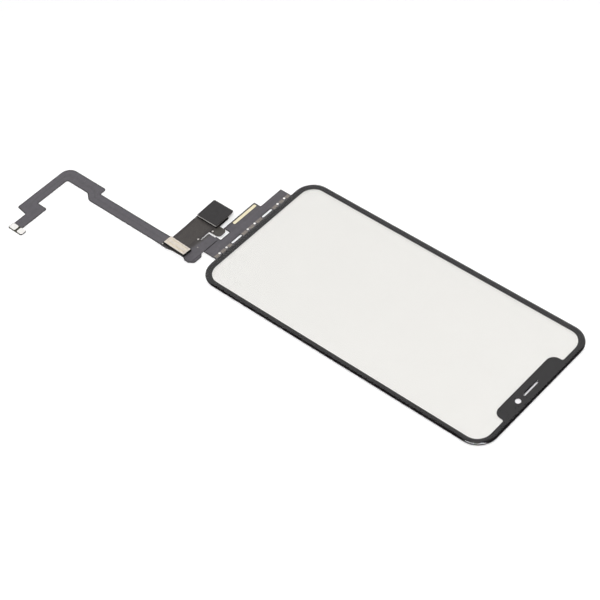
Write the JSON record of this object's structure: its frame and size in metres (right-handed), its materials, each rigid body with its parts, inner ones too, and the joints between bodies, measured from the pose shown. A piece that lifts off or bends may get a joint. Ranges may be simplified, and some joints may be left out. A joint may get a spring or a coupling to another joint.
{
  "type": "phone front glass and touch panel assembly",
  "caption": "Clear phone front glass with a black border and notch, touch film behind it, and flat flexible circuits with a connector and a long bent tail.",
  "frame": {"origin": "centre of the panel's back face, on the plane that the panel rests on", "axes": "+Z out of the front glass, +Y towards the notched end, +X to the right of someone who faces the glass"},
  "size_m": [0.0941, 0.227, 0.0025],
  "materials": {
    "clear_glass": "polished, chemically hardened",
    "black_print": "black print seen through the glass",
    "clear_adhesive": "clear, colourless",
    "clear_film": "clear film with fine silver lines along its edges",
    "grey_circuit": "slate grey cover layer, satin",
    "brown_circuit": "slate grey cover layer turning dark brown at the board, satin",
    "bond": "thin conductive bond",
    "tin": "tin plated, bright",
    "gold": "gold plated",
    "chip": "moulded package",
    "ceramic": "fired ceramic",
    "steel": "thin rolled plate",
    "black_film": "black film, satin",
    "black_plastic": "moulded, satin",
    "cream_plastic": "moulded, satin"
  },
  "bodies": {
    "root": {"cover_glass": "clear_glass", "ink_border": "black_print", "optical_adhesive": "clear_adhesive", "touch_sensor_film": "clear_film", "bond_strip": "bond", "bonding_flex": "grey_circuit", "ground_strip": "gold", "controller_flex": "brown_circuit", "touch_chip": "chip", "board_stiffener": "steel", "flap_stiffener": "steel", "flap_tape": "black_film", "lap_bond": "bond", "tail_bond": "bond", "tail_flex": "grey_circuit", "terminal_pad_1": "tin", "terminal_pad_2": "tin", "connector_stiffener": "steel", "connector_base": "black_plastic", "connector_housing": "cream_plastic", "fiducial_pad_1": "tin", "fiducial_pad_2": "tin", "fiducial_pad_3": "tin", "fiducial_pad_4": "tin", "fiducial_pad_5": "tin", "fiducial_pad_6": "tin", "capacitor_1": "ceramic", "test_pad_1": "tin", "capacitor_2": "ceramic", "test_pad_2": "tin", "capacitor_3": "ceramic", "test_pad_3": "tin", "capacitor_4": "ceramic", "test_pad_4": "tin", "connector_contact_1": "gold", "connector_contact_2": "gold", "connector_contact_3": "gold", "connector_contact_4": "gold", "connector_contact_5": "gold", "connector_contact_6": "gold", "connector_contact_7": "gold", "connector_contact_8": "gold", "connector_contact_9": "gold", "connector_contact_10": "gold", "connector_contact_11": "gold", "connector_contact_12": "gold", "connector_contact_13": "gold", "connector_contact_14": "gold", "connector_contact_15": "gold", "connector_contact_16": "gold", "connector_contact_17": "gold", "connector_contact_18": "gold", "connector_contact_19": "gold", "connector_contact_20": "gold"}
  },
  "joints": []
}
